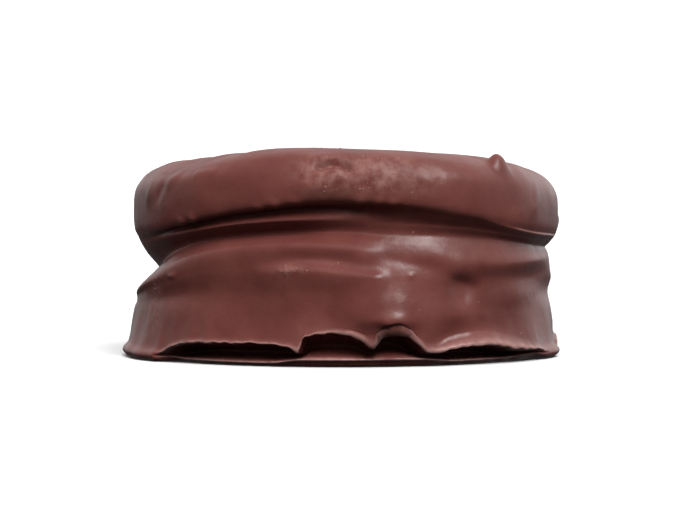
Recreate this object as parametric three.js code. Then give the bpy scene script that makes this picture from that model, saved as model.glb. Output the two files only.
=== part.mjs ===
// An alfajor: two round biscuits on a soft filling, dipped whole in chocolate and set on a flat belt.
// The coat hides what is inside, so the alfajor is one solid. It has a foot where the chocolate spread and
// then chipped off the belt in arches, a lower biscuit, a waist over the filling, and a lid, which is the
// upper biscuit, leaning back because more filling came out at the front.
// Millimetres, +Z up. The origin is the middle of the underside, and -Y is the front.
import * as THREE from "three";

// Driving sizes
const FOOT_RADIUS = 31.5;
const SIDE_RADIUS = 29.5; // over the lower biscuit
const LID_RADIUS = 30.4;
const LID_TOP = 28.2; // height of the lid's upper face at its middle
const LID_TILT = THREE.MathUtils.degToRad(8.5); // how far the lid leans back
const LID_ROLL = THREE.MathUtils.degToRad(0.8); // and down to the right
const LID_SHIFT = 0.6; // the lid sits a little to the right
const CROWN = 1.5; // how far the lid's middle stands above its rim

// The belt side: a thin plate of chocolate, which shows under the arches
const REST_RADIUS = 28.4; // edge of the flat underside
const PLATE_RADIUS = 30.2;
const PLATE_THICKNESS = 1.45;
const RECESS_DEPTH = 3.2; // from the plate's edge back to the wall under an arch
const LIP_RADIUS = 30.7;
const LIP_THICKNESS = 1.0;
const FOOT_THICKNESS = 2.1; // where the foot is whole

// The foot is chipped in arches: where each is, half its width, both in degrees, and how high its lip lifts.
// The first is wide and low: there the lip only stands on the plate, between the arches at the front.
const ARCHES = [
  { at: 7, half: 66, lift: 1.75 },
  { at: -32, half: 22, lift: 3.0 },
  { at: -0.7, half: 11.8, lift: 4.3 },
  { at: 15.6, half: 7.6, lift: 4.9 },
  { at: 48, half: 21.5, lift: 2.85 },
  { at: 99, half: 13, lift: 2.5 },
  { at: 137, half: 17, lift: 3.2 },
  { at: 181, half: 15, lift: 2.8 },
  { at: 221, half: 16, lift: 3.4 },
  { at: 257, half: 11, lift: 2.4 },
];
const FULL_ARCH = 1.7; // a lip that lifts this far stands clear of the plate

const COLUMNS = 96; // faces around
const SPAN_STEPS = 2; // rings for each stretch between two stations of the profile
const UNDERSIDE_RINGS = 3;

// An angle is 0 at the front and grows towards the right, which is +X.
const around = (radius, angle, height) =>
  new THREE.Vector3(radius * Math.sin(angle), -radius * Math.cos(angle), height);

// Hand-made unevenness: three slow waves that close round the biscuit.
function wobble(angle, size, phase) {
  const waves = Math.sin(2 * angle + phase) + 0.7 * Math.sin(3 * angle - 2 * phase);
  return (size * (waves + 0.5 * Math.sin(5 * angle + 3 * phase))) / 2.2;
}

// How high the lip of the foot stands at an angle: the tallest arch there, or 0 between arches.
function archLift(angle) {
  const lifts = ARCHES.map(({ at, half, lift }) => {
    const apart = THREE.MathUtils.radToDeg(angle) - at;
    const share = Math.abs(THREE.MathUtils.euclideanModulo(apart + 180, 360) - 180) / half;
    return share < 1 ? lift * Math.sqrt(1 - share ** 3) : 0;
  });
  return Math.max(...lifts);
}

// Carries a point from the lid's own frame, whose height 0 is its rim, to the alfajor's frame.
const lidFrame = new THREE.Matrix4()
  .makeTranslation(LID_SHIFT, 0, LID_TOP)
  .multiply(new THREE.Matrix4().makeRotationX(-LID_TILT))
  .multiply(new THREE.Matrix4().makeRotationY(LID_ROLL))
  .multiply(new THREE.Matrix4().makeTranslation(0, 0, -CROWN));
const onLid = (radius, angle, height) => around(radius, angle, height).applyMatrix4(lidFrame);

// The foot from the flat underside to the top of its lip, as [radius, height] from the belt up.
function footStations(angle) {
  const lift = archLift(angle);
  const tip = FOOT_RADIUS + wobble(angle, 0.25, 0.4);
  const whole = [
    [tip - 0.75, 0.1],
    [tip - 0.3, 0.35],
    [tip - 0.05, 0.7],
    [tip, 1.0],
    [tip - 0.1, 1.3],
    [tip - 0.35, 1.6],
    [tip - 0.75, FOOT_THICKNESS],
  ];
  const plate = PLATE_RADIUS + wobble(angle, 0.3, 1.9);
  const lip = LIP_RADIUS + wobble(angle, 0.2, 2.7);
  const opening = THREE.MathUtils.smoothstep(lift - PLATE_THICKNESS, 0.15, 1.1);
  const chipped = [
    [plate - 0.9, 0.45],
    [plate - 0.2, 1.0],
    [plate, PLATE_THICKNESS],
    [plate - 0.5 - RECESS_DEPTH * opening, (PLATE_THICKNESS + lift) / 2],
    [lip - 0.4 - 1.2 * opening, lift - 0.15 * opening],
    [lip, lift + 0.3],
    [lip - 0.35, lift + LIP_THICKNESS],
  ];
  const share = THREE.MathUtils.smoothstep(lift, 0, FULL_ARCH);
  return whole.map(([radius, height], i) => {
    const [chipRadius, chipHeight] = chipped[i];
    return around(
      THREE.MathUtils.lerp(radius, chipRadius, share),
      angle,
      THREE.MathUtils.lerp(height, chipHeight, share),
    );
  });
}

// The waist between the biscuits: shallow on the right, deep at the front and on the left.
function waistDepth(angle) {
  return 2.9 - 0.85 * Math.sin(angle) + 0.5 * Math.cos(angle) + wobble(angle, 0.2, 0.9);
}

// From the lower biscuit's shoulder up to the wall over the filling.
function waistStations(angle) {
  const depth = waistDepth(angle);
  const height = -12.4 + 2.2 * Math.sin(angle) + 0.5 * Math.cos(angle);
  const opening = 3.6 - 1.4 * Math.sin(angle) + 0.6 * Math.cos(angle);
  const deepest = onLid(LID_RADIUS - depth, angle, height);
  const shoulder = around(SIDE_RADIUS + wobble(angle, 0.15, 2.2), angle, deepest.z - opening);
  const slope = shoulder.clone().lerp(deepest, 0.5).add(around(0.25 * depth, angle, 0));
  return [shoulder, slope, deepest, onLid(LID_RADIUS - 0.85 * depth, angle, height + 1.2)];
}

// The lid from under its lower edge to the middle of its upper face.
function lidStations(angle) {
  const edge = -8.9 + 1.1 * Math.sin(angle) + 1.3 * Math.cos(angle);
  const radius = LID_RADIUS + wobble(angle, 0.2, 3.3);
  return [
    onLid(radius - 0.6 * waistDepth(angle), angle, edge - 1.0),
    onLid(radius - 0.8, angle, edge - 0.1),
    onLid(radius - 0.2, angle, edge + 0.8),
    onLid(radius - 0.1, angle, 0.62 * edge),
    onLid(radius - 0.1, angle, 0.4 * edge),
    onLid(radius - 1.0, angle, -2.0),
    onLid(radius - 2.0, angle, -0.8),
    onLid(radius - 4.4, angle, 0.2 * CROWN),
    onLid(0.7 * radius, angle, 0.5 * CROWN),
    onLid(0.36 * radius, angle, 0.88 * CROWN),
    onLid(0, angle, CROWN),
  ];
}

// One side of the alfajor at an angle, as a smooth curve from the edge of the underside to the lid's middle.
function profile(angle) {
  const rest = around(REST_RADIUS, angle, 0);
  const foot = footStations(angle);
  const waist = waistStations(angle);
  const lid = lidStations(angle);
  const lip = foot.at(-1);
  const shoulder = waist[0];
  const wall = [
    [0.12, -0.3],
    [0.4, -0.15],
    [0.7, 0.05],
  ].map(([share, bulge]) => {
    const point = lip.clone().lerp(shoulder, share);
    return point.add(around(bulge + wobble(angle, 0.12, share * 9), angle, 0));
  });
  const stations = [rest, ...foot, ...wall, ...waist, ...lid];
  const curve = new THREE.CatmullRomCurve3(stations, false, "centripetal");
  return curve.getPoints(SPAN_STEPS * (stations.length - 1));
}

// The underside's rings, then the profile, round every column. Both ends are single points.
function alfajorGeometry() {
  const middle = new THREE.Vector3(0, 0, 0);
  const columns = [];
  for (let i = 0; i < COLUMNS; i += 1) {
    const side = profile((2 * Math.PI * i) / COLUMNS);
    const underside = [];
    for (let k = 1; k < UNDERSIDE_RINGS; k += 1) {
      underside.push(side[0].clone().multiplyScalar(k / UNDERSIDE_RINGS));
    }
    columns.push([...underside, ...side.slice(0, -1)]);
  }
  const summit = onLid(0, 0, CROWN);
  const rings = columns[0].length;
  const positions = [middle, ...columns.flat(), summit].flatMap((point) => point.toArray());
  const vertex = (column, ring) => 1 + (column % COLUMNS) * rings + ring;
  const last = 1 + COLUMNS * rings;
  const faces = [];
  for (let i = 0; i < COLUMNS; i += 1) {
    faces.push(0, vertex(i + 1, 0), vertex(i, 0));
    for (let k = 0; k + 1 < rings; k += 1) {
      const [a, b] = [vertex(i, k), vertex(i + 1, k)];
      const [c, d] = [vertex(i + 1, k + 1), vertex(i, k + 1)];
      faces.push(a, b, c, a, c, d);
    }
    faces.push(vertex(i, rings - 1), vertex(i + 1, rings - 1), last);
  }
  const geometry = new THREE.BufferGeometry();
  geometry.setAttribute("position", new THREE.Float32BufferAttribute(positions, 3));
  geometry.setIndex(faces);
  return geometry;
}

// Sets the origin at the middle of the box's underside.
function centred(geometry) {
  geometry.computeBoundingBox();
  const { min, max } = geometry.boundingBox;
  return geometry.translate(-(min.x + max.x) / 2, -(min.y + max.y) / 2, -min.z);
}

const chocolate = new THREE.MeshStandardMaterial({
  color: new THREE.Color().setRGB(0.41, 0.23, 0.2, THREE.SRGBColorSpace),
  roughness: 0.35,
  metalness: 0,
});

const alfajor = new THREE.Mesh(centred(alfajorGeometry()), chocolate);
alfajor.name = "coated_alfajor";
alfajor.geometry.computeVertexNormals();

const part = new THREE.Group();
part.add(alfajor);

export default part;
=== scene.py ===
# %% [markdown]
# # An alfajor, dipped in milk chocolate
# An alfajor is two round biscuits on a soft filling, dipped whole in chocolate. The coat hides all that is
# inside it, so this lesson makes the coat alone, as one closed mesh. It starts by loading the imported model,
# which fixes the place and the size. Lengths are in millimetres here, and a mesh is scaled to Blender's
# metres when it is made.

import math

import bpy
import numpy as np
from mathutils import Matrix, Vector


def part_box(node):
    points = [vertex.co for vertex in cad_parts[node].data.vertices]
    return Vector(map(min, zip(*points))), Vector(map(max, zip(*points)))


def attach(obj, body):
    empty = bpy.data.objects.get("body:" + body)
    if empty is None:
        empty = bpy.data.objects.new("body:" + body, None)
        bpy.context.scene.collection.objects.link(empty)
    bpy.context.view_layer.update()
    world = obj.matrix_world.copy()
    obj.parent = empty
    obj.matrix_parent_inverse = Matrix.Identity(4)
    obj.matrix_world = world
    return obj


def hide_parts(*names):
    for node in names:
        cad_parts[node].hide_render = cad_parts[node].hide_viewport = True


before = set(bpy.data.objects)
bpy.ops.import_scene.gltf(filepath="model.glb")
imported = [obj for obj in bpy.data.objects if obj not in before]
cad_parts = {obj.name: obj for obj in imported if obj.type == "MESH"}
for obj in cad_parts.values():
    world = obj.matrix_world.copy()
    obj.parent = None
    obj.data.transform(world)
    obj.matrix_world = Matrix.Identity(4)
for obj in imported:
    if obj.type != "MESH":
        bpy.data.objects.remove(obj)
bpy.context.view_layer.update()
MM = 0.001
low, high = (np.array(corner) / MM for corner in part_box("coated_alfajor"))
WIDTH, DEPTH, HEIGHT = high - low
print(f"the cookie is {WIDTH:.1f} x {DEPTH:.1f} x {HEIGHT:.1f} mm")

# %% [markdown]
# ## The driving sizes
# From the plate up, the coat has a foot, where it ran out and set; a lower biscuit; a waist, where it sinks
# in over the filling; and a lid, the upper biscuit. The lid leans back, because more filling came out at
# the front. The sizes are shares of the model's box, so a wider cookie needs no change here.

# %% Driving sizes
DRAWN_WIDTH = 62.7  # the sizes below are those of a cookie this wide
UNIT = WIDTH / DRAWN_WIDTH
FOOT_RADIUS = 31.5 * UNIT
SIDE_RADIUS = 29.5 * UNIT
LID_RADIUS = 30.2 * UNIT
LID_TOP = HEIGHT - 2.9 * UNIT  # the lid's upper face at its middle; its front rim stands higher
LID_TILT = math.radians(8.5)  # how far the lid leans back
LID_ROLL = math.radians(0.8)  # and down to the right
LID_SHIFT = 0.6 * UNIT
CROWN = 1.5 * UNIT  # how far the lid's middle stands above its rim
COLUMNS = 640  # faces around
print(f"one face is {2 * math.pi * SIDE_RADIUS / COLUMNS:.2f} mm wide on the side")

# %% [markdown]
# ## Values that change round the cookie
# Nothing on a dipped biscuit is the same all the way round. Each size of the coat is therefore a list with
# one value for each column of faces. It could be painted by hand, but a few values keyed by their angle,
# blended into each other, are easier to read and to change. The angle is 0 at the front and grows to the
# right. Random waves then make an edge look broken instead of drawn.

# %% Keyed and ragged values
angles = np.arange(COLUMNS) * 2 * math.pi / COLUMNS
degrees = np.degrees(angles)


def keyed(values, blend=5.0):
    """One value for each column, from values keyed by their angle. Blend is in degrees, as the keys are."""
    keys = sorted(values)
    steps = np.interp(degrees, keys, [values[key] for key in keys], period=360)
    weight = np.exp(-0.5 * (np.minimum(degrees, 360 - degrees) / blend) ** 2)
    return UNIT * np.fft.irfft(np.fft.rfft(steps) * np.fft.rfft(weight / weight.sum()), COLUMNS)


def ragged(size, slowest, fastest, seed):
    """Unevenness of about this size: waves of random phase, from slowest to fastest times round."""
    rng = np.random.default_rng(seed)
    counts = np.arange(slowest, fastest + 1)
    phases = rng.uniform(0, 2 * math.pi, counts.size)
    waves = np.sin(np.outer(angles, counts) + phases).sum(1)
    return size * UNIT * waves / math.sqrt(counts.size / 2)


def smoothstep(value, start, end):
    """0 up to the start, 1 from the end on, and a smooth rise between them."""
    share = np.clip((value - start) / (end - start), 0, 1)
    return share * share * (3 - 2 * share)


print(f"{COLUMNS} columns, {degrees[1]:.2f} degrees apart")

# %% [markdown]
# ## Points on the cookie and on its lid
# The lower biscuit stands level, so a point on it is a radius and a height. The lid has a frame of its own,
# tilted with it, whose height 0 is the lid's rim. A matrix carries lid points to the cookie, which keeps
# the lean out of every other line of the script.

# %% The cookie's frame and the lid's
LID_FRAME = (
    Matrix.Translation((LID_SHIFT, 0, LID_TOP))
    @ Matrix.Rotation(-LID_TILT, 4, "X")
    @ Matrix.Rotation(LID_ROLL, 4, "Y")
    @ Matrix.Translation((0, 0, -CROWN))
)


def around(radius, height):
    """A point for each column, at a radius and height on the level biscuit."""
    radius, height = np.broadcast_to(radius, COLUMNS), np.broadcast_to(height, COLUMNS)
    return np.stack([radius * np.sin(angles), -radius * np.cos(angles), height], axis=1)


def on_lid(radius, height):
    """The same in the lid's frame."""
    turn = np.array(LID_FRAME)
    return around(radius, height) @ turn[:3, :3].T + turn[:3, 3]


rim = on_lid(LID_RADIUS, 0)[:, 2]
print(f"the lid's rim stands {rim.max():.1f} mm high at the front and {rim.min():.1f} mm at the back")

# %% [markdown]
# ## The foot
# Wet chocolate ran out under the cookie and set as a thin plate. When the cookie was lifted off, the
# plate's rim chipped away in arches. Each arch has a lip that hangs over a dark recess, and a plate edge
# below it. The tallest arch, right of the front's middle, is the pocket. The lip is drawn as one line round
# the cookie, low where it stands on the plate and 0 where the foot is whole. A steep step between two keys
# is the broken side of an arch.

# %% The lip's line
LIP_LINE = {
    -60: 0, -56: 1.5, -52: 2.2, -48: 2.7, -44: 3.0, -34: 3.1, -24: 3.2, -18: 3.1, -15: 2.7, -12.6: 2.2,
    -11.6: 1.8,
    -10.9: 4.1, -8: 4.6, -3: 4.8, 1: 4.7, 3: 4.45, 6.2: 3.6, 7.8: 2.7, 8.7: 2.1,
    9.4: 4.4, 11: 4.9, 13: 5.1, 16: 5.0, 18: 4.5, 20: 3.7, 23: 2.0,
    27: 1.8, 30: 2.3, 35: 2.6, 43: 2.7, 49: 2.4, 52: 1.9, 58: 1.7, 66: 1.5, 74: 0,
    84: 0, 88: 2.0, 93: 2.6, 103: 2.5, 110: 2.0, 112: 0.4,
    118: 0.3, 122: 2.2, 130: 3.3, 140: 3.4, 149: 2.4, 154: 1.8, 156: 0,
    166: 0.2, 170: 2.3, 178: 2.9, 188: 2.7, 194: 1.9, 197: 0.2,
    205: 0.4, 210: 2.6, 217: 3.5, 228: 3.2, 234: 2.2, 238: 0.3,
    247: 0, 251: 1.9, 258: 2.5, 264: 2.1, 268: 0,
}  # fmt: skip
PLATE_TOP = {-62: 1.2, -52: 0.6, -19: 0.6, -13: 1.15, 24: 1.15, 31: 0.7, 56: 0.7, 68: 1.2, 180: 1.0}
WHOLE_LIFT, CHIPPED_LIFT = 0.3 * UNIT, 1.7 * UNIT  # the lip's height where the foot is whole, and chipped
SHUT_GAP, OPEN_GAP = 0.2 * UNIT, 1.3 * UNIT  # from the plate up to the lip, where an arch is shut, and open
lip_height = keyed(LIP_LINE, blend=0.4)
calm_height = keyed(LIP_LINE, blend=2.5)
chipped = smoothstep(lip_height, WHOLE_LIFT, CHIPPED_LIFT)
lip_height = lip_height + chipped * ragged(0.06, 20, 120, seed=3)
plate_top = keyed(PLATE_TOP, blend=2)
opening = smoothstep(lip_height - plate_top, SHUT_GAP, OPEN_GAP)
print(f"{100 * chipped.mean():.0f}% of the foot is chipped, and {100 * opening.mean():.0f}% stands open")

# %% [markdown]
# A whole foot has a plain rounded edge, and a chipped one has the plate, the recess and the lip. Both are
# described by the same number of stations from the underside up, so that one can be blended into the other.

# %% The foot's stations
REST_RADIUS = 27.4 * UNIT  # edge of the flat underside
RECESS = 3.6 * UNIT
PLATE_EDGE = {-62: 30.9, -54: 29.0, -18: 28.9, -13: 29.3, 24: 29.3, 30: 28.9, 58: 29.0, 68: 30.7, 180: 29.6}
LIP_EDGE = {
    -180: 30.5, -60: 31.1, -45: 30.7, -30: 30.6, 0: 30.4, 14: 30.3, 30: 30.8, 48: 31.2, 70: 31.2, 110: 30.6,
}  # fmt: skip
BEVEL = {-180: 0, 24: 0, 30: 0.9, 42: 1.1, 54: 0.9, 64: 0.2, 75: 0}  # a slope above the lip, at the right
tip = FOOT_RADIUS + ragged(0.16, 2, 6, seed=1) + ragged(0.05, 8, 40, seed=2)
plate_edge = keyed(PLATE_EDGE, blend=2) + ragged(0.07, 6, 60, seed=5)
lip_edge = keyed(LIP_EDGE) + ragged(0.05, 8, 60, seed=6)
bevel = keyed(BEVEL, blend=2)
above_lip = np.maximum(lip_height + 0.55 * UNIT, calm_height + 0.9 * UNIT)

whole_foot = [
    (tip - 0.75 * UNIT, 0.1 * UNIT),
    (tip - 0.3 * UNIT, 0.35 * UNIT),
    (tip - 0.05 * UNIT, 0.7 * UNIT),
    (tip, 1.0 * UNIT),
    (tip - 0.1 * UNIT, 1.3 * UNIT),
    (tip - 0.35 * UNIT, 1.6 * UNIT),
    (tip - 0.75 * UNIT, 2.1 * UNIT),
]
chipped_foot = [
    (np.minimum(plate_edge - 0.9 * UNIT, REST_RADIUS + 1.1 * UNIT), 0.25 * plate_top),
    (plate_edge - 0.6 * UNIT, 0.66 * plate_top),
    (plate_edge, plate_top),
    (plate_edge - (0.4 * UNIT + RECESS * opening), (plate_top + lip_height) / 2),
    (lip_edge - (0.4 + 1.4 * opening) * UNIT, lip_height - 0.1 * UNIT * opening),
    (lip_edge, lip_height + 0.25 * UNIT),
    (lip_edge - 0.3 * UNIT - bevel, above_lip + 1.1 * bevel),
]
foot = [around(REST_RADIUS, 0)]
for (whole_radius, whole_height), (chip_radius, chip_height) in zip(whole_foot, chipped_foot):
    radius = whole_radius + chipped * (chip_radius - whole_radius)
    foot.append(around(radius, whole_height + chipped * (chip_height - whole_height)))
print(f"the foot's edge is {tip.min():.1f} to {tip.max():.1f} mm from the middle")

# %% [markdown]
# ## The waist
# Under the lid's edge the coat is undercut. Below that a thin ridge of coated filling runs along, and below
# the ridge is the waist, deep on the left and almost closed on the right. Each of them is a track round the
# cookie, keyed as pairs of radius and height. Blending the pairs keeps the tracks smooth.

# %% Tracks round the waist
def track(pairs):
    """The keyed radius and height of a line round the cookie."""
    radius = keyed({angle: pair[0] for angle, pair in pairs.items()})
    return radius, keyed({angle: pair[1] for angle, pair in pairs.items()})


shoulder_radius, shoulder_height = track({
    -90: (29.5, 8.5), -60: (29.5, 12.4), -47: (29.4, 15.2), -35: (29.4, 16.5), -15: (29.5, 17.5),
    0: (29.5, 17.1), 14: (29.5, 15.6), 30: (29.8, 14.6), 48: (30.2, 14.2), 70: (29.8, 14.2),
    90: (29.6, 14.1), 135: (29.5, 11.6), 180: (29.6, 10.4), 225: (29.5, 10.0),
})  # fmt: skip
waist_radius, waist_height = track({
    -90: (26.0, 12.0), -77: (26.4, 13.0), -62: (27.6, 15.6), -47: (27.5, 17.5), -35: (26.9, 18.4),
    -15: (26.6, 19.1), 0: (27.4, 19.3), 14: (28.0, 18.9), 30: (28.3, 18.7), 48: (29.0, 17.8),
    70: (29.3, 16.4), 90: (28.9, 15.5), 135: (28.3, 13.0), 180: (27.6, 11.9), 225: (26.8, 11.8),
})  # fmt: skip
ridge_radius, ridge_height = track({
    -90: (28.6, 15.8), -78: (28.7, 16.2), -66: (29.1, 17.1), -52: (29.0, 18.5), -35: (29.1, 19.9),
    -20: (29.1, 20.8), 0: (28.4, 21.2), 14: (28.0, 20.7), 30: (28.9, 20.1), 48: (29.9, 18.9),
    60: (30.2, 17.8), 75: (30.1, 17.1), 90: (29.8, 16.6), 135: (29.5, 14.1), 180: (28.7, 13.0),
    225: (28.7, 13.4),
})  # fmt: skip
undercut_radius, edge_height = track({
    -100: (28.9, 16.6), -90: (29.0, 17.2), -78: (29.1, 17.6), -66: (29.3, 18.5), -50: (28.6, 20.1),
    -30: (28.2, 22.1), -10: (27.9, 23.7), 0: (27.8, 23.8), 7: (28.4, 23.5), 25: (29.8, 22.6),
    38: (30.4, 21.2), 48: (30.7, 20.0), 60: (30.9, 18.7), 75: (30.7, 17.9), 90: (30.1, 17.4),
    135: (29.8, 14.9), 180: (28.7, 13.7), 225: (29.0, 14.6),
})  # fmt: skip
BELLY = 0.7  # how full the ridge's lower side is
# The second station lies about halfway between the shoulder and the waist, and the last is in the undercut,
# about halfway between the ridge and the lid's edge.
waist = [
    around(shoulder_radius + ragged(0.1, 2, 7, seed=7), shoulder_height),
    around(0.48 * shoulder_radius + 0.52 * waist_radius, 0.45 * shoulder_height + 0.55 * waist_height),
    around(waist_radius, waist_height),
    around(waist_radius + BELLY * (ridge_radius - waist_radius), (waist_height + 2 * ridge_height) / 3),
    around(ridge_radius, ridge_height),
    around(undercut_radius, 0.45 * ridge_height + 0.55 * edge_height),
]
print(f"the waist is {(shoulder_radius - waist_radius).max():.1f} mm deep at the most")

# %% [markdown]
# ## The lid
# The lid's side is nearly straight, and its rim turns over into a slightly crowned face. On the left the
# rim has sagged a little, and at the front it stands slightly high.

# %% The lid's stations
lid_edge = LID_RADIUS + ragged(0.1, 2, 7, seed=8) + ragged(0.04, 8, 30, seed=9)
SAG = {-100: 0, -80: 0.5, -57: 0.95, -44: 0.7, -27: -0.1, -15: -0.3, 5: -0.3, 30: -0.1, 45: 0}
TUCK = {-90: 0.6, -66: 0.5, -45: 0.8, 5: 0.9, 25: 0.6, 45: 0.4, 60: 0.6, 90: 0.4, 135: 0.5, 225: 0.5}
sag = keyed(SAG)  # how far the rim hangs below its even height
tuck = keyed(TUCK)  # how far the lid's lower edge turns in
edge_drop = edge_height - rim  # from the rim down to the lid's lower edge
lid = [
    on_lid(lid_edge - tuck, edge_drop),
    on_lid(lid_edge - 0.3 * tuck, edge_drop + 0.85 * UNIT),
    on_lid(lid_edge, -3.4 * UNIT - 0.4 * sag),
    on_lid(lid_edge - 0.85 * UNIT, -1.6 * UNIT - sag),
    on_lid(lid_edge - 1.75 * UNIT, -0.7 * UNIT - sag),
    on_lid(lid_edge - 4.1 * UNIT, 0.2 * CROWN - 0.7 * sag),
    on_lid(0.7 * lid_edge, 0.5 * CROWN - 0.3 * sag),
    on_lid(0.36 * lid_edge, 0.88 * CROWN),
    on_lid(0.0, CROWN),
]
print(f"the lid's side is {-edge_drop.max():.1f} to {-edge_drop.min():.1f} mm high")

# %% [markdown]
# ## From stations to a grid of points
# A Catmull-Rom curve runs through every station, so the stations are all that has to be chosen. Its
# centripetal form never loops where two stations lie close together, as they do at the lip. Each stretch
# gets its own number of rings: many where the shape turns or where folds will be modelled, few on the plain
# face.

# %% Rings along a smooth curve
WALL_FOOT = 7.2 * UNIT  # above the highest lip
wall = []
for share, bulge in [(0, 0.25), (0.34, -0.1), (0.7, 0.0)]:
    level = WALL_FOOT + share * (shoulder_height - WALL_FOOT)
    wall.append(around(SIDE_RADIUS + bulge * UNIT + ragged(0.1, 2, 8, seed=int(100 * share)), level))
stations = foot + wall + waist + lid
FOOT_RINGS = [2, 2, 2, 6, 5, 3, 3]
WALL_RINGS = [13, 8, 9, 9]
WAIST_RINGS = [8, 6, 3, 4, 5]
LID_RINGS = [5, 3, 11, 5, 4, 6, 8, 9, 9]
RINGS = FOOT_RINGS + WALL_RINGS + WAIST_RINGS + LID_RINGS  # one count for each stretch
UNDERSIDE_RINGS = 4


def smooth_rings(points, counts):
    """Rings of points along a centripetal Catmull-Rom curve through the stations, without the last one."""
    ends = [2 * points[0] - points[1], *points, 2 * points[-1] - points[-2]]
    rings = []
    for k, count in enumerate(counts):
        p0, p1, p2, p3 = ends[k : k + 4]
        pairs = ((p0, p1), (p1, p2), (p2, p3))
        spans = [np.linalg.norm(b - a, axis=1, keepdims=True) ** 0.5 for a, b in pairs]
        t0 = np.zeros_like(spans[0])
        t1 = t0 + spans[0]
        t2 = t1 + spans[1]
        t3 = t2 + spans[2]
        for step in range(count):
            t = t1 + (t2 - t1) * step / count
            a1 = (p0 * (t1 - t) + p1 * (t - t0)) / (t1 - t0)
            a2 = (p1 * (t2 - t) + p2 * (t - t1)) / (t2 - t1)
            a3 = (p2 * (t3 - t) + p3 * (t - t2)) / (t3 - t2)
            b1 = (a1 * (t2 - t) + a2 * (t - t0)) / (t2 - t0)
            b2 = (a2 * (t3 - t) + a3 * (t - t1)) / (t3 - t1)
            rings.append((b1 * (t2 - t) + b2 * (t - t1)) / (t2 - t1))
    return rings


underside = [foot[0] * k / UNDERSIDE_RINGS for k in range(1, UNDERSIDE_RINGS)]
grid = np.array(underside + smooth_rings(stations, RINGS))
print(f"{len(grid)} rings of {COLUMNS} points")

# %% [markdown]
# ## Marks in the coat
# The coat shows how it ran: folds, wrinkles, dimples and lumps. They could be sculpted, but a script can
# draw them as strokes on the unrolled side, where a place is an angle and a height. A stroke has a line, a
# rise, which is negative for a groove, and a width on each side of the line. One narrow and one wide side
# make a fold that is steep on one side. The marks move the surface along its own normal.

# %% A brush for strokes and dabs
def ring_at(station):
    """The number of the ring that runs through a station."""
    return UNDERSIDE_RINGS - 1 + sum(RINGS[:station])


PLATE_STATION, UNDER_LIP_STATION, LIP_STATION = 3, 5, 6  # in the foot, counted from the underside's edge
LID_STATION = len(foot + wall + waist)  # the lid's lower edge
RIM_STATION = LID_STATION + 3  # where the lid's side turns over into its upper face
LIP_RING = ring_at(UNDER_LIP_STATION)
RIM_RING = ring_at(RIM_STATION)
ring = np.arange(len(grid))[:, None]
on_side = smoothstep(ring, LIP_RING, LIP_RING + 4) * (1 - smoothstep(ring, RIM_RING - 1, RIM_RING + 6))
side_angle = np.broadcast_to((degrees + 180) % 360 - 180, grid.shape[:2])
side_height = grid[:, :, 2] / UNIT
MM_PER_DEGREE = math.radians(SIDE_RADIUS / UNIT)
HALF_ROUND = 180 * MM_PER_DEGREE
STEPS = 10  # along each stretch of a stroke's line
REACH = 3  # how many widths away a stroke still has an effect
marks = np.zeros(grid.shape[:2])


def away(angle):
    """How far each point is from an angle, in millimetres along the side."""
    return ((side_angle - angle + 180) % 360 - 180) * MM_PER_DEGREE


def stroke(line, rise, left, right, fade=0.2):
    """Raises a ridge along a line of (angle, height) points, so wide to the left and right of the line."""
    points = [np.array([[angle * MM_PER_DEGREE, height]]) for angle, height in line]
    path = np.concatenate([*smooth_rings(points, [STEPS] * (len(points) - 1)), points[-1]])
    middle = path.mean(0)
    reach = np.abs(path - middle).max(0) + REACH * max(left, right)
    across = (side_angle * MM_PER_DEGREE - middle[0] + HALF_ROUND) % (2 * HALF_ROUND)
    across = across - HALF_ROUND
    near = (np.abs(across) < reach[0]) & (np.abs(side_height - middle[1]) < reach[1])
    spot = np.stack([across[near] + middle[0], side_height[near]], axis=1)
    start, span = path[:-1], np.diff(path, axis=0)
    share = ((spot[:, None] - start) * span).sum(2) / (span**2).sum(1)
    share = np.clip(share, 0, 1)
    gap = spot[:, None] - (start + share[:, :, None] * span)
    best = (gap**2).sum(2).argmin(1)
    row = np.arange(len(spot))
    gap, share = gap[row, best], share[row, best]
    side = span[best, 0] * gap[:, 1] - span[best, 1] * gap[:, 0]
    width = np.where(side > 0, left, right)
    along = (best + share) / len(span)
    taper = smoothstep(np.minimum(along, 1 - along), 0, fade)
    marks[near] += rise * taper * np.exp(-(gap**2).sum(1) / width**2)


def dab(angle, height, wide, tall, rise, turn=0.0):
    """Raises an oval lump, or sinks a dimple, that leans by turn degrees."""
    across, up = away(angle), side_height - height
    lean = math.radians(turn)
    first = (across * math.cos(lean) + up * math.sin(lean)) / (wide / 2)
    second = (up * math.cos(lean) - across * math.sin(lean)) / (tall / 2)
    marks[:] += rise * np.exp(-(first**2) - second**2)


print(f"the brush reaches rings {LIP_RING} to {RIM_RING}")

# %% [markdown]
# The front has the clearest marks. The top edge of the lower biscuit pushes out a long fold, which ends at
# the right in a broad lobe. A small lump sits over the pocket, and a dimple lies further right. The lid has
# a torn crater with a lump under it, short wrinkles at its left, and small beads along its lower edge.

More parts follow.
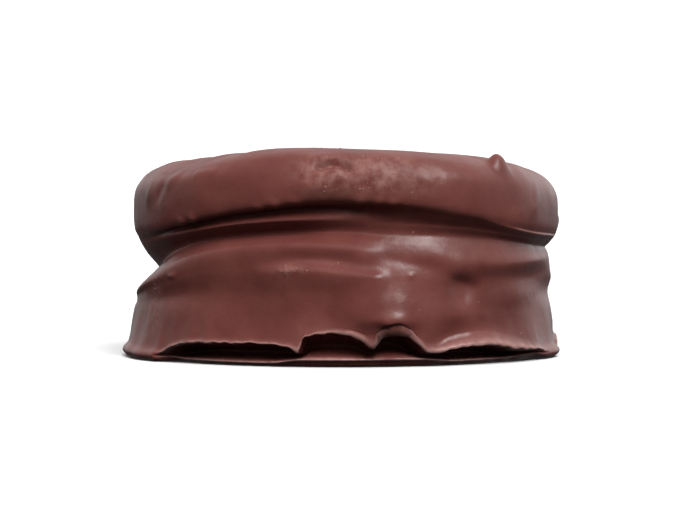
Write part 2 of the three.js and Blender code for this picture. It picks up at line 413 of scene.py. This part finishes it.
# %% Strokes on the front
FOLD = [(-27, 12.9), (-18, 13.6), (-8, 13.7), (2, 13.2), (9, 12.9), (14, 12.6)]
stroke(FOLD, rise=0.9, left=0.95, right=4.4, fade=0.25)
stroke([(-22, 15.1), (-10, 15.4), (0, 15.2), (6, 15.2)], rise=-0.35, left=1.3, right=0.8, fade=0.4)
dab(12.8, 8.6, 10, 9.6, 1.65)  # the lobe
dab(4.5, 7.8, 7, 5, 0.5)  # its softer left side
stroke([(5, 15.8), (14, 15.4), (24, 14.4), (35, 13.6)], rise=-0.5, left=1.5, right=1.3, fade=0.35)
dab(12.5, 6.4, 6.0, 2.0, 0.65)  # the lump over the pocket
stroke([(29, 12.3), (36, 11.5), (43, 10.4)], rise=-0.8, left=1.0, right=2.8, fade=0.45)  # the dimple
dab(-33, 9.5, 14, 9, -0.25, turn=-20)
GRAINS = [(-17.5, 13.9, 0.15), (-15.5, 13.7, 0.2), (-13.8, 13.9, 0.15), (19.0, 13.0, 0.12)]
for angle, height, rise in GRAINS:
    dab(angle, height, 0.8, 0.6, rise)
dab(-55, 12.3, 1.8, 0.8, 0.2, turn=8)
dab(55, 10.5, 8, 9, 0.15)
print(f"marks so far rise {marks.max():.2f} mm and sink {-marks.min():.2f} mm")

# %% Strokes on the lid
CRATER = [(-9.5, 28.1), (-6, 28.6), (-2.6, 28.9), (-0.2, 28.4), (1.3, 27.2)]
stroke(CRATER, rise=-1.3, left=0.75, right=0.55)
dab(-7.0, 30.0, 4.6, 2.0, 0.35)
dab(-2.8, 26.6, 5.0, 4.6, 0.5, turn=-15)  # the lump under the crater
dab(-10.5, 25.8, 5.0, 2.0, 0.2)
stroke([(-70, 21.6), (-68, 23.6), (-65, 25.4)], rise=0.18, left=0.8, right=1.0, fade=0.4)
stroke([(-64, 22.2), (-61, 24.2), (-57, 26.0)], rise=-0.25, left=0.8, right=0.8, fade=0.4)
stroke([(-58, 24.6), (-55, 26.2), (-51, 27.3)], rise=0.2, left=0.8, right=0.8, fade=0.4)
stroke([(-47, 26.9), (-42, 27.4), (-37, 27.6)], rise=0.15, left=0.5, right=0.6)
stroke([(60, 20.5), (64, 23.0), (62, 25.0)], rise=0.2, left=1.0, right=1.3, fade=0.4)
edge_ring = grid[ring_at(LID_STATION), :, 2] / UNIT
BEADS = {-52: 0.25, -47: 0.3, -25: 0.2, -20: 0.25, -14: 0.2, 4: 0.3, 9: 0.25, 13: 0.3}
for angle, rise in BEADS.items():
    dab(angle, np.interp(angle % 360, degrees, edge_ring) + 0.2, 1.7, 1.2, rise)
print(f"marks so far rise {marks.max():.2f} mm and sink {-marks.min():.2f} mm")

# %% [markdown]
# The sides and the back get marks of the same kinds from a loop with a fixed seed: slanted wrinkles, soft
# lumps and shallow dents, so that no view of the cookie is bare. The lid has fewer than the wall.

# %% Marks on the sides and the back
LID_SIDE, LID_LEAN = 21.5, 4.4  # how high the lid's side is, and how far the lean lifts or lowers it
rng = np.random.default_rng(27)
for _ in range(26):
    angle = rng.uniform(96, 262)
    height = rng.uniform(4.5, 11.5)
    length, slant = rng.uniform(6, 17), rng.uniform(-1.6, 1.6)
    bend = rng.uniform(-1.0, 0.6)
    line = [(angle - length, height - slant), (angle, height + bend), (angle + length, height + slant)]
    stroke(line, rise=rng.uniform(-0.35, 0.55), left=rng.uniform(0.6, 1.2), right=rng.uniform(0.9, 2.2))
for _ in range(14):
    angle = rng.uniform(92, 262)
    height = LID_SIDE + LID_LEAN * math.cos(math.radians(angle)) + rng.uniform(-2.0, 2.5)
    length = rng.uniform(4, 12)
    line = [(angle - length, height), (angle, height + rng.uniform(-0.7, 0.7)), (angle + length, height)]
    stroke(line, rise=rng.uniform(-0.25, 0.35), left=rng.uniform(0.5, 1.0), right=rng.uniform(0.6, 1.4))
DAB_RANGES = [(84, 276), (3, 22), (2, 7), (1.5, 5), (-0.25, 0.25)]  # angle, height, how wide, how tall, rise
for _ in range(40):
    dab(*(rng.uniform(least, most) for least, most in DAB_RANGES))
print(f"marks in all rise {marks.max():.2f} mm and sink {-marks.min():.2f} mm")

# %% [markdown]
# ## Moving the points
# Each point moves along the normal of the smooth form, which comes from its neighbours in the grid. Two
# things move straight up or down instead: the faint ripples of the upper face, and the nub on the lid's
# rim, where the coat was pulled up in a peak.

# %% Apply the marks
along_ring = np.roll(grid, -1, axis=1) - np.roll(grid, 1, axis=1)
along_column = np.gradient(grid, axis=0)
normals = np.cross(along_ring, along_column)
normals /= np.linalg.norm(normals, axis=2, keepdims=True)
points = grid + normals * (marks * on_side * UNIT)[:, :, None]

RIPPLE_LENGTH, RIPPLE_RISE = 6.5 * UNIT, 0.16 * UNIT
BEND_LENGTH, BEND = 5 * UNIT, 1.6 * UNIT  # the ripples wander as they cross the lid
FADE_ACROSS, FADE_ALONG = 7 * UNIT, 11 * UNIT  # they fade and come back over these lengths
across, along = grid[:, :, 0], grid[:, :, 1]
ripples = np.sin(2 * math.pi * (along + BEND * np.sin(across / BEND_LENGTH)) / RIPPLE_LENGTH)
ripples = ripples * (1 + np.sin(across / FADE_ACROSS + along / FADE_ALONG)) / 2
points[:, :, 2] += RIPPLE_RISE * ripples * smoothstep(ring, RIM_RING + 4, RIM_RING + 14)

NUB_ANGLE, NUB_RADIUS, NUB_DROP = 49.5, 28.6 * UNIT, 0.9 * UNIT
NUB_RISE, NUB_WIDTH = 1.6 * UNIT, 1.5 * UNIT
NUB_BLUNTNESS = 2.8
HEIGHT_SHARE = 0.8  # how much a height counts against a distance along the lid
nub_column = int(round(NUB_ANGLE / degrees[1]))
nub = on_lid(NUB_RADIUS, -NUB_DROP)[nub_column]
gap = np.linalg.norm((points - nub) * (1, 1, HEIGHT_SHARE), axis=2) / NUB_WIDTH
points[:, :, 2] += NUB_RISE * np.exp(-(gap**NUB_BLUNTNESS))
print(f"the nub's peak stands {points[:, nub_column - 4 : nub_column + 5, 2].max():.1f} mm high")

# %% [markdown]
# ## The mesh
# The grid becomes quads, closed by a fan at each pole. Four masks go with it as attributes. Relief says how
# far the fine relief may move a point, and patch marks the rough places, most of which are on the lid, whose
# pale dust is partly a painted sheen. The third marks the broken edges, which are paler in colour and carry a
# painted highlight, and face marks the lid's upper face, which is duller.

# %% Masks
def oval(angle, height, wide, tall):
    """A mask that is 1 in an oval on the side, and fades to 0 round it."""
    return np.exp(-(((away(angle) / (wide / 2)) ** 2) + ((side_height - height) / (tall / 2)) ** 2) ** 2)


PALE_GLINT_BANDS = {ring_at(PLATE_STATION): 1.1, ring_at(LIP_STATION): 1.2}  # the widths of the broken edges' pale, painted-highlight bands, in rings
POCKET_ANGLE, POCKET_WIDTH = 14, 5
POCKET_GLINT_CUT = 0.85  # how much of the broken edges' painted highlight the lip over the pocket loses
EDGE_CALM = 0.75  # how much of the relief the broken edges lose
STILL_HEIGHT, FREE_HEIGHT = 0.3 * UNIT, 2.0 * UNIT  # the underside has no relief, and the side has all of it
# Along the broken edges the colour is paler, partly the chocolate's own and partly a painted highlight.
pocket = np.exp(-(((degrees - POCKET_ANGLE) / POCKET_WIDTH) ** 2))
pale_glint_share = chipped * (1 - POCKET_GLINT_CUT * pocket)
pale_lit_edge = sum(pale_glint_share * np.exp(-(((ring - at) / wide) ** 2)) for at, wide in PALE_GLINT_BANDS.items())
# The rough places are dusty and paler, partly in their own colour and partly with a painted sheen. At the
# fold's left end, at -14.5 degrees, the pale dust is a painted highlight over real lumps.
lid_rough_and_sheen = [oval(-4, 27.9, 11, 6.4), 0.9 * oval(10, 27.8, 13, 6.4), 0.6 * oval(21, 27, 8, 5)]
wall_rough_and_sheen = [0.5 * oval(-64, 7.5, 4, 8), 0.6 * oval(-14.5, 13.7, 5, 1.8)]
patch = np.maximum.reduce([on_side * np.maximum.reduce(lid_rough_and_sheen), *wall_rough_and_sheen])
face = smoothstep(ring, RIM_RING - 2, RIM_RING + 10)
calm = 1 - EDGE_CALM * np.clip(pale_lit_edge, 0, 1)
relief = calm * smoothstep(grid[:, :, 2], STILL_HEIGHT, FREE_HEIGHT)
print(f"the rough places cover {100 * (patch > 0.3).mean():.1f}% of the points")


# %% Build the mesh
def grid_mesh(name, grid_points, bottom, top, masks):
    """A closed mesh from rings of points, with a fan at each pole and a point attribute for each mask."""
    rings, columns = grid_points.shape[:2]
    vertices = np.concatenate([[bottom], grid_points.reshape(-1, 3), [top]]) * MM
    index = 1 + np.arange(rings * columns).reshape(rings, columns)
    beside = np.roll(index, -1, axis=1)
    quads = np.stack([index[:-1], beside[:-1], beside[1:], index[1:]], axis=2).reshape(-1, 4)
    base = [(0, b, a) for a, b in zip(index[0], beside[0])]
    summit = [(a, b, len(vertices) - 1) for a, b in zip(index[-1], beside[-1])]
    mesh = bpy.data.meshes.new(name)
    mesh.from_pydata(vertices.tolist(), [], quads.tolist() + base + summit)
    mesh.shade_smooth()
    for label, mask in masks.items():
        top_value = 1.0 if label == "relief" else 0.0  # the lid's middle takes all of the relief
        values = np.concatenate([[0.0], np.broadcast_to(mask, (rings, columns)).ravel(), [top_value]])
        mesh.attributes.new(label, "FLOAT", "POINT").data.foreach_set("value", values.astype(np.float32))
    return mesh


middle = (points[:, :, :2].max((0, 1)) + points[:, :, :2].min((0, 1))) / 2
shift = np.array([*middle, 0.0])
summit = on_lid(0, CROWN)[0]
masks = {"relief": relief, "patch": patch, "pale_lit_edge": pale_lit_edge, "face": face}
coat_mesh = grid_mesh("coat", points - shift, np.zeros(3) - shift, summit - shift, masks)
coat = bpy.data.objects.new("chocolate_coat", coat_mesh)
bpy.context.scene.collection.objects.link(coat)
print(f"{len(coat_mesh.vertices)} points and {len(coat_mesh.polygons)} faces")

# %% [markdown]
# ## Milk chocolate
# Milk chocolate is a dark red-brown with a satin skin, and almost no orange. Its gloss is broad, because
# the skin is faintly uneven, and the rough places and the upper face are duller than the rest. The colour
# is mottled a little and greyer in a thin bloom that comes and goes. The rough places are paler with dust
# and a painted sheen, and the broken edges are paler in their own colour and with a painted highlight. Each
# of these has a noise of its own, and all of them read Object coordinates, so that they stay on the coat
# from every side.

# %% Helpers for node trees
def add_node(tree, kind, inputs=None, **settings):
    """Adds a node with its settings and inputs. An input that is given a socket is linked to it."""
    node = tree.nodes.new(kind)
    for label, value in settings.items():
        setattr(node, label, value)
    for label, value in (inputs or {}).items():
        if isinstance(value, bpy.types.NodeSocket):
            tree.links.new(value, node.inputs[label])
        else:
            node.inputs[label].default_value = value
    return node


def maths(tree, operation, first, second):
    """The output of one Math node."""
    kind = "ShaderNodeMath"
    return add_node(tree, kind, {0: first, 1: second}, operation=operation).outputs[0]


def product(tree, first, second):
    return maths(tree, "MULTIPLY", first, second)


def total(tree, first, second):
    return maths(tree, "ADD", first, second)


def blended(tree, share, first, second):
    """The first colour where the share is 0, and the second where it is 1."""
    inputs = {0: share, 6: first, 7: second}  # the colours are inputs 6 and 7 of this node, and output 2
    return add_node(tree, "ShaderNodeMix", inputs, data_type="RGBA").outputs[2]


def remapped(tree, value, start, end, low_value, high_value):
    """The low value up to the start, the high value from the end on, and a straight blend between them."""
    inputs = {"Value": value, "From Min": start, "From Max": end, "To Min": low_value, "To Max": high_value}
    return add_node(tree, "ShaderNodeMapRange", inputs).outputs["Result"]


NOISE_LOW, NOISE_HIGH = 0.3, 0.7  # a noise keeps near 0.5, mostly between these


def spread(tree, value, low_value, high_value):
    """Stretches a noise to run from the low value to the high one."""
    return remapped(tree, value, NOISE_LOW, NOISE_HIGH, low_value, high_value)


def srgb(red, green, blue):
    """A linear colour from the 0 to 255 values of a paint chart."""
    shares = (red / 255, green / 255, blue / 255)
    return (*(c / 12.92 if c <= 0.04045 else ((c + 0.055) / 1.055) ** 2.4 for c in shares), 1.0)


print(f"middle grey, 128 on a paint chart, is {srgb(128, 128, 128)[0]:.3f} in linear light")

# %% The chocolate's material
DEEP_BROWN = srgb(98, 51, 47)
WARM_BROWN = srgb(112, 62, 56)
# the broken edges' paler colour, which is partly a painted highlight
PALE_EDGE_AND_GLINT = srgb(188, 145, 139)
BLOOM = srgb(124, 80, 77)
# dust on the rough places and on the flakes; on the rough places it is partly a painted sheen
DUST_AND_SHEEN = srgb(152, 114, 104)
BLOOM_SHARE = 0.10
DUST_AND_SHEEN_RANGE = (-0.2, 0.62)  # of the rough places' dust and painted sheen; where it falls below 0 they have neither
EDGE_PALENESS_AND_GLINT = (0.45, 1.0)  # of the broken edges' paler colour and painted highlight
SATIN = (0.26, 0.35)  # the skin's roughness, from its glossiest to its dullest
DULL_PATCH, DULL_FACE = 0.16, 0.14  # added on the rough places and on the upper face
GRAIN_SHARE = 0.35  # how strong the finest grain of the skin is
BUMP_STRENGTH, BUMP_DEPTH = 0.25, 0.12 * MM


def chocolate_material(name):
    material = bpy.data.materials.new(name)
    material.use_nodes = True
    tree = material.node_tree
    shader = tree.nodes["Principled BSDF"]
    place = add_node(tree, "ShaderNodeTexCoord").outputs["Object"]

    def noise(size, detail, roughness=0.5, distortion=0.0):
        """A noise whose spots are about this many millimetres wide."""
        inputs = {"Vector": place, "Scale": 1 / (size * MM), "Detail": detail, "Roughness": roughness}
        return add_node(tree, "ShaderNodeTexNoise", {**inputs, "Distortion": distortion}).outputs["Fac"]

    pale_lit_edge_mask, patch_mask, face_mask = (
        add_node(tree, "ShaderNodeAttribute", attribute_name=label).outputs["Fac"]
        for label in ("pale_lit_edge", "patch", "face")
    )
    body = blended(tree, spread(tree, noise(7, 4, 0.6), 0, 1), DEEP_BROWN, WARM_BROWN)
    bloom = product(tree, spread(tree, noise(3.5, 6, 0.65, 0.6), 0, 1), BLOOM_SHARE)
    # the rough places are paler: dust, and partly a painted sheen
    dust_and_sheen = product(tree, patch_mask, spread(tree, noise(1.7, 3, 0.6), *DUST_AND_SHEEN_RANGE))
    # the broken edges are paler, partly in their own colour and partly with a painted highlight
    pale_and_glinting_edge = product(tree, pale_lit_edge_mask, spread(tree, noise(0.9, 3), *EDGE_PALENESS_AND_GLINT))
    colour = blended(tree, bloom, body, BLOOM)
    colour = blended(tree, dust_and_sheen, colour, DUST_AND_SHEEN)
    colour = blended(tree, pale_and_glinting_edge, colour, PALE_EDGE_AND_GLINT)
    tree.links.new(colour, shader.inputs["Base Color"])

    dullness = total(tree, product(tree, patch_mask, DULL_PATCH), product(tree, face_mask, DULL_FACE))
    roughness = total(tree, spread(tree, noise(4.5, 5, 0.6), *SATIN), dullness)
    tree.links.new(roughness, shader.inputs["Roughness"])
    skin = total(tree, noise(1.1, 2), product(tree, noise(0.28, 3), GRAIN_SHARE))
    bumps = {"Height": skin, "Strength": BUMP_STRENGTH, "Distance": BUMP_DEPTH}
    tree.links.new(add_node(tree, "ShaderNodeBump", bumps).outputs["Normal"], shader.inputs["Normal"])
    shader.inputs["Specular IOR Level"].default_value = 0.25
    shader.inputs["Subsurface Weight"].default_value = 0.05
    shader.inputs["Subsurface Radius"].default_value = (1.0, 0.35, 0.25)
    shader.inputs["Subsurface Scale"].default_value = 0.9 * MM
    return material


chocolate = chocolate_material("milk_chocolate")
print(f"{len(chocolate.node_tree.nodes)} nodes in the chocolate")

# %% [markdown]
# ## Fine relief with Geometry Nodes
# The skin is never quite smooth: it has slow waves, small ripples and, on the rough places, tight lumps.
# They follow the surface by a rule, so a Geometry Nodes tree makes them. Each layer is a noise of a named
# size and height, and the sum moves every point along its normal, as far as the relief mask lets it. Two
# helpers make the beginning and the end that this tree shares with the next one.

# %% The relief tree
def new_tree(name, lengths_and_densities, seed_type):
    """A Geometry Nodes tree with named inputs. Returns it, what it is given, and its two masks."""
    tree = bpy.data.node_groups.new(name, "GeometryNodeTree")
    sockets = {"Geometry": "NodeSocketGeometry"}
    sockets |= {label: "NodeSocketFloat" for label in lengths_and_densities}
    sockets |= {"Seed": seed_type, "Material": "NodeSocketMaterial"}
    for label, kind in sockets.items():
        tree.interface.new_socket(label, in_out="INPUT", socket_type=kind)
    tree.interface.new_socket("Geometry", in_out="OUTPUT", socket_type="NodeSocketGeometry")
    given = add_node(tree, "NodeGroupInput").outputs
    relief_mask, patch_mask = (
        add_node(tree, "GeometryNodeInputNamedAttribute", {"Name": label}, data_type="FLOAT").outputs[0]
        for label in ("relief", "patch")
    )
    return tree, given, relief_mask, patch_mask


def finish_tree(tree, geometry, material):
    """Makes everything real, gives it its material and sends it out of the tree."""
    real = add_node(tree, "GeometryNodeRealizeInstances", {"Geometry": geometry}).outputs[0]
    coated = add_node(tree, "GeometryNodeSetMaterial", {"Geometry": real, "Material": material}).outputs[0]
    add_node(tree, "NodeGroupOutput", {"Geometry": coated})
    return tree


def relief_tree():
    layers = ("Wave", "Ripple", "Patch")
    labels = [f"{label} {measure}" for label in layers for measure in ("Size", "Height")]
    tree, given, relief_mask, patch_mask = new_tree("skin_relief", labels, "NodeSocketFloat")
    place = add_node(tree, "GeometryNodeInputPosition").outputs[0]

    def layer(label, detail, distortion):
        scale = maths(tree, "DIVIDE", 1.0, given[f"{label} Size"])
        inputs = {"Vector": place, "W": given["Seed"], "Scale": scale, "Detail": detail}
        inputs |= {"Distortion": distortion}
        noise = add_node(tree, "ShaderNodeTexNoise", inputs, noise_dimensions="4D").outputs[0]
        return product(tree, maths(tree, "SUBTRACT", noise, 0.5), given[f"{label} Height"])

    waves = layer("Wave", detail=1.0, distortion=0.4)
    ripples = layer("Ripple", detail=1.0, distortion=0.8)
    lumps = product(tree, layer("Patch", detail=2.0, distortion=0.3), patch_mask)
    rise = product(tree, total(tree, total(tree, waves, ripples), lumps), relief_mask)
    normal = add_node(tree, "GeometryNodeInputNormal").outputs[0]
    offset = add_node(tree, "ShaderNodeVectorMath", {0: normal, "Scale": rise}, operation="SCALE").outputs[0]
    moving = {"Geometry": given["Geometry"], "Offset": offset}
    moved = add_node(tree, "GeometryNodeSetPosition", moving).outputs[0]
    return finish_tree(tree, moved, given["Material"])


def run_tree(piece, tree, inputs):
    """Puts a tree on a piece, sets its inputs by identifier, and keeps the result as a plain mesh."""
    modifier = piece.modifiers.new(tree.name, "NODES")
    modifier.node_group = tree
    for item in tree.interface.items_tree:
        if item.in_out == "INPUT" and item.name in inputs:
            modifier[item.identifier] = inputs[item.name]
    evaluated = piece.evaluated_get(bpy.context.evaluated_depsgraph_get())
    mesh = bpy.data.meshes.new_from_object(evaluated)
    piece.modifiers.remove(modifier)
    piece.data = mesh
    return piece


skin = {"Wave Size": 11 * MM, "Wave Height": 0.7 * MM, "Ripple Size": 3.5 * MM, "Ripple Height": 0.1 * MM}
skin |= {"Patch Size": 1.3 * MM, "Patch Height": 0.4 * MM, "Seed": 3.0, "Material": chocolate}
run_tree(coat, relief_tree(), skin)
print(f"the coat has {len(coat.data.polygons)} faces after the relief")

# %% [markdown]
# ## Flakes
# Dry flakes of chocolate stick to the coat, most of them on the rough places and a few elsewhere. They
# could be placed by hand, but a rule is enough: Geometry Nodes scatters points on the coat by the patch
# mask, puts a small faceted lump on each, turned and tipped at random, and makes them all real meshes.

# %% The flakes' tree
FLAT = (1.0, 0.75, 0.45)  # a flake's three sizes, as shares of the largest
FLAKE_MOTTLE = 1.3 * MM
TUMBLE = (0.5, 0.5, 6.28)  # the most that a flake is tipped two ways and turned, in radians


def flakes_tree():
    labels = ("Patch Density", "Bare Density", "Smallest", "Largest")
    tree, given, relief_mask, patch_mask = new_tree("stuck_flakes", labels, "NodeSocketInt")
    density = total(tree, product(tree, patch_mask, given["Patch Density"]), given["Bare Density"])
    density = product(tree, density, relief_mask)
    scattering = {"Mesh": given["Geometry"], "Density": density, "Seed": given["Seed"]}
    spots = add_node(tree, "GeometryNodeDistributePointsOnFaces", scattering).outputs
    lump = add_node(tree, "GeometryNodeMeshIcoSphere", {"Radius": 0.5, "Subdivisions": 1}).outputs["Mesh"]
    flake = add_node(tree, "GeometryNodeTransform", {"Geometry": lump, "Scale": FLAT}).outputs[0]
    sizes = {"Min": given["Smallest"], "Max": given["Largest"], "Seed": given["Seed"]}
    size = add_node(tree, "FunctionNodeRandomValue", sizes, data_type="FLOAT").outputs["Value"]
    placing = {"Points": spots["Points"], "Instance": flake, "Rotation": spots["Rotation"], "Scale": size}
    placed = add_node(tree, "GeometryNodeInstanceOnPoints", placing).outputs[0]
    tumble = add_node(tree, "FunctionNodeRandomValue", {"Max": TUMBLE}, data_type="FLOAT_VECTOR").outputs[0]
    turning = {"Instances": placed, "Rotation": tumble}
    turned = add_node(tree, "GeometryNodeRotateInstances", turning).outputs[0]
    return finish_tree(tree, turned, given["Material"])


def flake_material(name):
    material = bpy.data.materials.new(name)
    material.use_nodes = True
    tree = material.node_tree
    shader = tree.nodes["Principled BSDF"]
    place = add_node(tree, "ShaderNodeTexCoord").outputs["Object"]
    inputs = {"Vector": place, "Scale": 1 / FLAKE_MOTTLE, "Detail": 1.0}
    noise = add_node(tree, "ShaderNodeTexNoise", inputs).outputs["Fac"]
    tree.links.new(blended(tree, spread(tree, noise, 0, 1), WARM_BROWN, DUST_AND_SHEEN), shader.inputs["Base Color"])
    shader.inputs["Roughness"].default_value = 0.6
    return material


flakes = bpy.data.objects.new("chocolate_flakes", coat.data.copy())
bpy.context.scene.collection.objects.link(flakes)
scatter = {"Patch Density": 0.6 / MM**2, "Bare Density": 0.007 / MM**2}
scatter |= {"Smallest": 0.12 * MM, "Largest": 0.4 * MM}
scatter |= {"Seed": 11, "Material": flake_material("dry_chocolate")}
run_tree(flakes, flakes_tree(), scatter)
FLAKE_POINTS = 12  # corners of one faceted lump
print(f"{len(flakes.data.vertices) // FLAKE_POINTS} flakes with {len(flakes.data.polygons)} faces")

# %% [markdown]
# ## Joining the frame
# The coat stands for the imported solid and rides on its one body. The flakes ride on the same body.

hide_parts("coated_alfajor")
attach(coat, "root")
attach(flakes, "root")
print("the coat stands for coated_alfajor")

# %% [markdown]
# ## The studio
# The cookie stands on a plain white table under three suns. One at the right gives the highlights alone,
# and two at the front give the shading alone, so that each can be tuned without the other. The room is
# white, which gives the coat its grey edges, where gloss meets the eye at a shallow angle. It is brighter
# overhead, behind and at the right, and dark below the horizon. The floor is only a stage, so it isn't part
# of the object.

# %% Floor
NEAR, FAR = 1.0, 2.2  # metres from the cookie to the table's edges
WHITE = (0.86, 0.86, 0.865, 1)
floor_mesh = bpy.data.meshes.new("table")
corners = [(-FAR, -NEAR, 0), (NEAR, -NEAR, 0), (NEAR, FAR, 0), (-FAR, FAR, 0)]
floor_mesh.from_pydata(corners, [], [(0, 1, 2, 3)])
floor = bpy.data.objects.new("table", floor_mesh)
bpy.context.scene.collection.objects.link(floor)
white = bpy.data.materials.new("white_table")
white.use_nodes = True
for label, value in {"Base Color": WHITE, "Roughness": 0.9, "Specular IOR Level": 0.2}.items():
    white.node_tree.nodes["Principled BSDF"].inputs[label].default_value = value
floor_mesh.materials.append(white)
floor.visible_diffuse = False  # the table sends no light into the coat's hollows,
floor.visible_glossy = False  # and makes no mirror image in the coat
print("the table is", [round(side, 2) for side in floor.dimensions], "m")

# %% Light
def towards(azimuth, elevation):
    """The direction from the cookie to a light: azimuth 0 is the front, 90 the right."""
    a, e = math.radians(azimuth), math.radians(elevation)
    return Vector((math.sin(a) * math.cos(e), -math.cos(a) * math.cos(e), math.sin(e)))


def sun(name, direction, energy, width):
    """A sun whose disc is this many degrees wide. The wider it is, the softer its highlights and shadows."""
    lamp = bpy.data.lights.new(name, "SUN")
    lamp.energy = energy
    lamp.angle = math.radians(width)
    holder = bpy.data.objects.new(name, lamp)
    bpy.context.scene.collection.objects.link(holder)
    holder.location = direction
    holder.rotation_mode = "QUATERNION"
    holder.rotation_quaternion = direction.to_track_quat("Z", "Y")
    holder.visible_camera = False
    return holder


gloss = sun("gloss", towards(54, 40), energy=2.4, width=24)
gloss.visible_diffuse = False  # it gives the highlights alone
key = sun("key", towards(22, 45), energy=2.0, width=28)
front = sun("front", towards(-8, 50), energy=2.25, width=50)
for lamp in (key, front):
    lamp.visible_glossy = False  # they give the shading, and leave no second highlight

ROOM = [  # an axis, the stretch of it where the brightness changes, and the brightness before and after
    ("Z", 0.0, 0.9, 0.5, 0.9),
    ("Y", -0.2, 0.75, 0.28, 1.25),
    ("Z", -0.12, 0.05, 0.12, 1.0),
    ("X", 0.05, 0.5, 1.0, 1.8),
]
world = bpy.data.worlds.new("studio")
bpy.context.scene.world = world
world.use_nodes = True
room = world.node_tree
place = add_node(room, "ShaderNodeTexCoord").outputs["Generated"]
heading = add_node(room, "ShaderNodeSeparateXYZ", {"Vector": place}).outputs
strength = 1.0
for axis, start, end, before, after in ROOM:
    strength = product(room, strength, remapped(room, heading[axis], start, end, before, after))
room.nodes["Background"].inputs["Color"].default_value = (1, 1, 1, 1)
room.links.new(strength, room.nodes["Background"].inputs["Strength"])
bpy.context.scene.view_settings.view_transform = "Standard"
print(f"three suns, and a white room with {len(ROOM)} changes of brightness")

# %% Camera
VIEW_DISTANCE = 1.8
VIEW_ELEVATION = 3.3
FRAME_SHARE = 0.64  # how much of the picture's width the cookie takes
AIM_SHARE = 0.46  # how far up the cookie the camera looks
camera_data = bpy.data.cameras.new("camera")
camera = bpy.data.objects.new("camera", camera_data)
bpy.context.scene.collection.objects.link(camera)
bpy.context.scene.camera = camera
camera_data.lens = camera_data.sensor_width * FRAME_SHARE * VIEW_DISTANCE / (WIDTH * MM)
view_line = towards(0, VIEW_ELEVATION)
camera.location = Vector((0, 0, AIM_SHARE * HEIGHT * MM)) + view_line * VIEW_DISTANCE
camera.rotation_mode = "QUATERNION"
camera.rotation_quaternion = view_line.to_track_quat("Z", "Y")
camera_data.clip_end = 10  # metres
print(f"lens {camera_data.lens:.0f} mm at {VIEW_DISTANCE} m")

# %% Update the view layer
bpy.context.view_layer.update()
